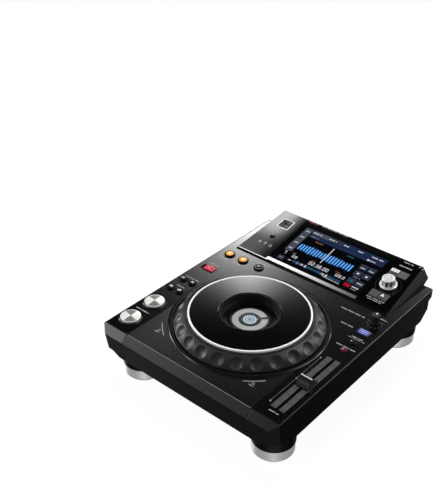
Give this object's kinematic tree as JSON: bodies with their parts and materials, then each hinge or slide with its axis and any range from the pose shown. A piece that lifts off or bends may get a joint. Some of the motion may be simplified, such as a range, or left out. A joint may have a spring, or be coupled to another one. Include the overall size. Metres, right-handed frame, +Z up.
{
  "type": "tabletop player for DJs",
  "caption": "Tabletop DJ player with a big dimpled jog dial, tilted touch display, transport buttons, tempo fader and rotary selector on round feet.",
  "frame": {"origin": "middle of the footprint on the table", "axes": "+X right, +Y to the rear, +Z up"},
  "size_m": [0.306, 0.39, 0.1168],
  "materials": {
    "case_black": "satin",
    "deck_black": "satin",
    "panel_grey": "satin",
    "gloss_black": "gloss",
    "dial_grey": "satin",
    "plate_black": "spun",
    "trim_white": "gloss",
    "silver": "brushed",
    "spun_silver": "spun",
    "steel": "brushed",
    "bronze": "plain",
    "glass": "gloss",
    "screen": "gloss",
    "key_grey": "satin",
    "lit_orange": "lit",
    "lit_blue": "lit",
    "lit_red": "lit",
    "lever_red": "gloss",
    "lit_white": "lit",
    "rubber": "matte",
    "board": "satin",
    "sheet": "satin"
  },
  "bodies": {
    "chassis": {"base_pan": "sheet", "housing": "case_black", "deck_plate": "deck_black", "front_panel": "panel_grey", "jog_surround": "gloss_black", "jog_post": "case_black", "jog_bearing": "bronze", "jog_sensor": "gloss_black", "jog_display": "screen", "jog_carrier": "steel", "display_housing": "case_black", "usb_panel": "panel_grey", "screen_glass": "glass", "lcd_module": "screen", "display_trim": "silver", "selector_panel": "gloss_black", "usb_socket": "gloss_black", "usb_frame": "lit_white", "selector_encoder": "case_black", "direction_switch": "case_black", "transport_rings": "gloss_black", "speed_pot": "case_black", "tempo_fader": "sheet", "foot_collars": "case_black", "foot_bands": "silver", "foot_pads": "rubber", "rear_panel": "sheet", "rear_jacks": "steel", "power_inlet": "case_black", "main_board": "board", "power_board": "board", "key_boards": "board", "case_screws": "steel"},
    "jog": {"jog_dial": "dial_grey", "jog_encoder_disc": "gloss_black"},
    "jog_top": {"jog_plate": "plate_black", "jog_trim_ring": "trim_white"},
    "loop_in_button": {"loop_in_button": "lit_orange"},
    "loop_out_button": {"loop_out_button": "lit_orange"},
    "reloop_button": {"reloop_button": "gloss_black"},
    "track_back_button": {"track_back_button": "gloss_black"},
    "track_forward_button": {"track_forward_button": "gloss_black"},
    "search_back_button": {"search_back_button": "gloss_black"},
    "search_forward_button": {"search_forward_button": "gloss_black"},
    "cue_button": {"cue_button": "spun_silver"},
    "play_button": {"play_button": "spun_silver"},
    "jog_mode_button": {"jog_mode_button": "lit_blue"},
    "tempo_range_button": {"tempo_range_button": "gloss_black"},
    "tempo_lock_button": {"tempo_lock_button": "lit_red"},
    "upper_left_key": {"upper_left_key": "key_grey"},
    "upper_right_key": {"upper_right_key": "key_grey"},
    "lower_left_key": {"lower_left_key": "key_grey"},
    "lower_right_key": {"lower_right_key": "key_grey"},
    "usb_stop_button": {"usb_stop_button": "gloss_black"},
    "power_button": {"power_button": "case_black"},
    "selector_stem": {"selector_shaft": "steel"},
    "selector": {"selector_knob": "silver"},
    "speed": {"speed_knob": "case_black"},
    "tempo": {"tempo_cap": "case_black"},
    "direction": {"direction_lever": "lever_red"}
  },
  "joints": [
    {"name": "jog_spin", "type": "hinge", "parent": "chassis", "child": "jog", "pos_m": [0, -0.054, 0.089], "axis": [0, 0, 1], "continuous": true},
    {"name": "jog_top_press", "type": "slide", "parent": "jog", "child": "jog_top", "axis": [0, 0, -1], "range_m": [0, 0.0005], "stiffness_N_per_m": 12000, "springref_m": -0.0005},
    {"name": "loop_in_button_press", "type": "slide", "parent": "chassis", "child": "loop_in_button", "axis": [0, 0, -1], "range_m": [0, 0.0015], "stiffness_N_per_m": 800, "springref_m": -0.0005},
    {"name": "loop_out_button_press", "type": "slide", "parent": "chassis", "child": "loop_out_button", "axis": [0, 0, -1], "range_m": [0, 0.0015], "stiffness_N_per_m": 800, "springref_m": -0.0005},
    {"name": "reloop_button_press", "type": "slide", "parent": "chassis", "child": "reloop_button", "axis": [0, 0, -1], "range_m": [0, 0.0015], "stiffness_N_per_m": 800, "springref_m": -0.0005},
    {"name": "track_back_button_press", "type": "slide", "parent": "chassis", "child": "track_back_button", "axis": [0, 0, -1], "range_m": [0, 0.0015], "stiffness_N_per_m": 800, "springref_m": -0.0005},
    {"name": "track_forward_button_press", "type": "slide", "parent": "chassis", "child": "track_forward_button", "axis": [0, 0, -1], "range_m": [0, 0.0015], "stiffness_N_per_m": 800, "springref_m": -0.0005},
    {"name": "search_back_button_press", "type": "slide", "parent": "chassis", "child": "search_back_button", "axis": [0, 0, -1], "range_m": [0, 0.0015], "stiffness_N_per_m": 800, "springref_m": -0.0005},
    {"name": "search_forward_button_press", "type": "slide", "parent": "chassis", "child": "search_forward_button", "axis": [0, 0, -1], "range_m": [0, 0.0015], "stiffness_N_per_m": 800, "springref_m": -0.0005},
    {"name": "cue_button_press", "type": "slide", "parent": "chassis", "child": "cue_button", "axis": [0, 0, -1], "range_m": [0, 0.0015], "stiffness_N_per_m": 800, "springref_m": -0.0005},
    {"name": "play_button_press", "type": "slide", "parent": "chassis", "child": "play_button", "axis": [0, 0, -1], "range_m": [0, 0.0015], "stiffness_N_per_m": 800, "springref_m": -0.0005},
    {"name": "jog_mode_button_press", "type": "slide", "parent": "chassis", "child": "jog_mode_button", "axis": [0, 0, -1], "range_m": [0, 0.0015], "stiffness_N_per_m": 800, "springref_m": -0.0005},
    {"name": "tempo_range_button_press", "type": "slide", "parent": "chassis", "child": "tempo_range_button", "axis": [0, 0, -1], "range_m": [0, 0.0015], "stiffness_N_per_m": 800, "springref_m": -0.0005},
    {"name": "tempo_lock_button_press", "type": "slide", "parent": "chassis", "child": "tempo_lock_button", "axis": [0, 0, -1], "range_m": [0, 0.0015], "stiffness_N_per_m": 800, "springref_m": -0.0005},
    {"name": "upper_left_key_press", "type": "slide", "parent": "chassis", "child": "upper_left_key", "axis": [0, 0.1757, -0.9844], "range_m": [0, 0.0015], "stiffness_N_per_m": 800, "springref_m": -0.0005},
    {"name": "upper_right_key_press", "type": "slide", "parent": "chassis", "child": "upper_right_key", "axis": [0, 0.1757, -0.9844], "range_m": [0, 0.0015], "stiffness_N_per_m": 800, "springref_m": -0.0005},
    {"name": "lower_left_key_press", "type": "slide", "parent": "chassis", "child": "lower_left_key", "axis": [0, 0.1757, -0.9844], "range_m": [0, 0.0015], "stiffness_N_per_m": 800, "springref_m": -0.0005},
    {"name": "lower_right_key_press", "type": "slide", "parent": "chassis", "child": "lower_right_key", "axis": [0, 0.1757, -0.9844], "range_m": [0, 0.0015], "stiffness_N_per_m": 800, "springref_m": -0.0005},
    {"name": "usb_stop_button_press", "type": "slide", "parent": "chassis", "child": "usb_stop_button", "axis": [0, 0.1757, -0.9844], "range_m": [0, 0.0015], "stiffness_N_per_m": 800, "springref_m": -0.0005},
    {"name": "power_button_press", "type": "slide", "parent": "chassis", "child": "power_button", "axis": [0, -1, 0], "range_m": [0, 0.003], "stiffness_N_per_m": 500, "springref_m": -0.001},
    {"name": "selector_press", "type": "slide", "parent": "chassis", "child": "selector_stem", "axis": [0, 0.1757, -0.9844], "range_m": [0, 0.0008], "stiffness_N_per_m": 2000, "springref_m": -0.0005},
    {"name": "selector_turn", "type": "hinge", "parent": "selector_stem", "child": "selector", "pos_m": [0.106, 0.13469, 0.10054], "axis": [0, -0.1757, 0.9844], "continuous": true},
    {"name": "speed_turn", "type": "hinge", "parent": "chassis", "child": "speed", "pos_m": [0.1324, 0.058, 0.094], "axis": [0, 0, 1], "range_deg": [-150, 150]},
    {"name": "tempo_slide", "type": "slide", "parent": "chassis", "child": "tempo", "axis": [0, 1, 0], "range_m": [-0.05, 0.05]},
    {"name": "direction_slide", "type": "slide", "parent": "chassis", "child": "direction", "axis": [-1, 0, 0], "range_m": [0, 0.005]}
  ]
}
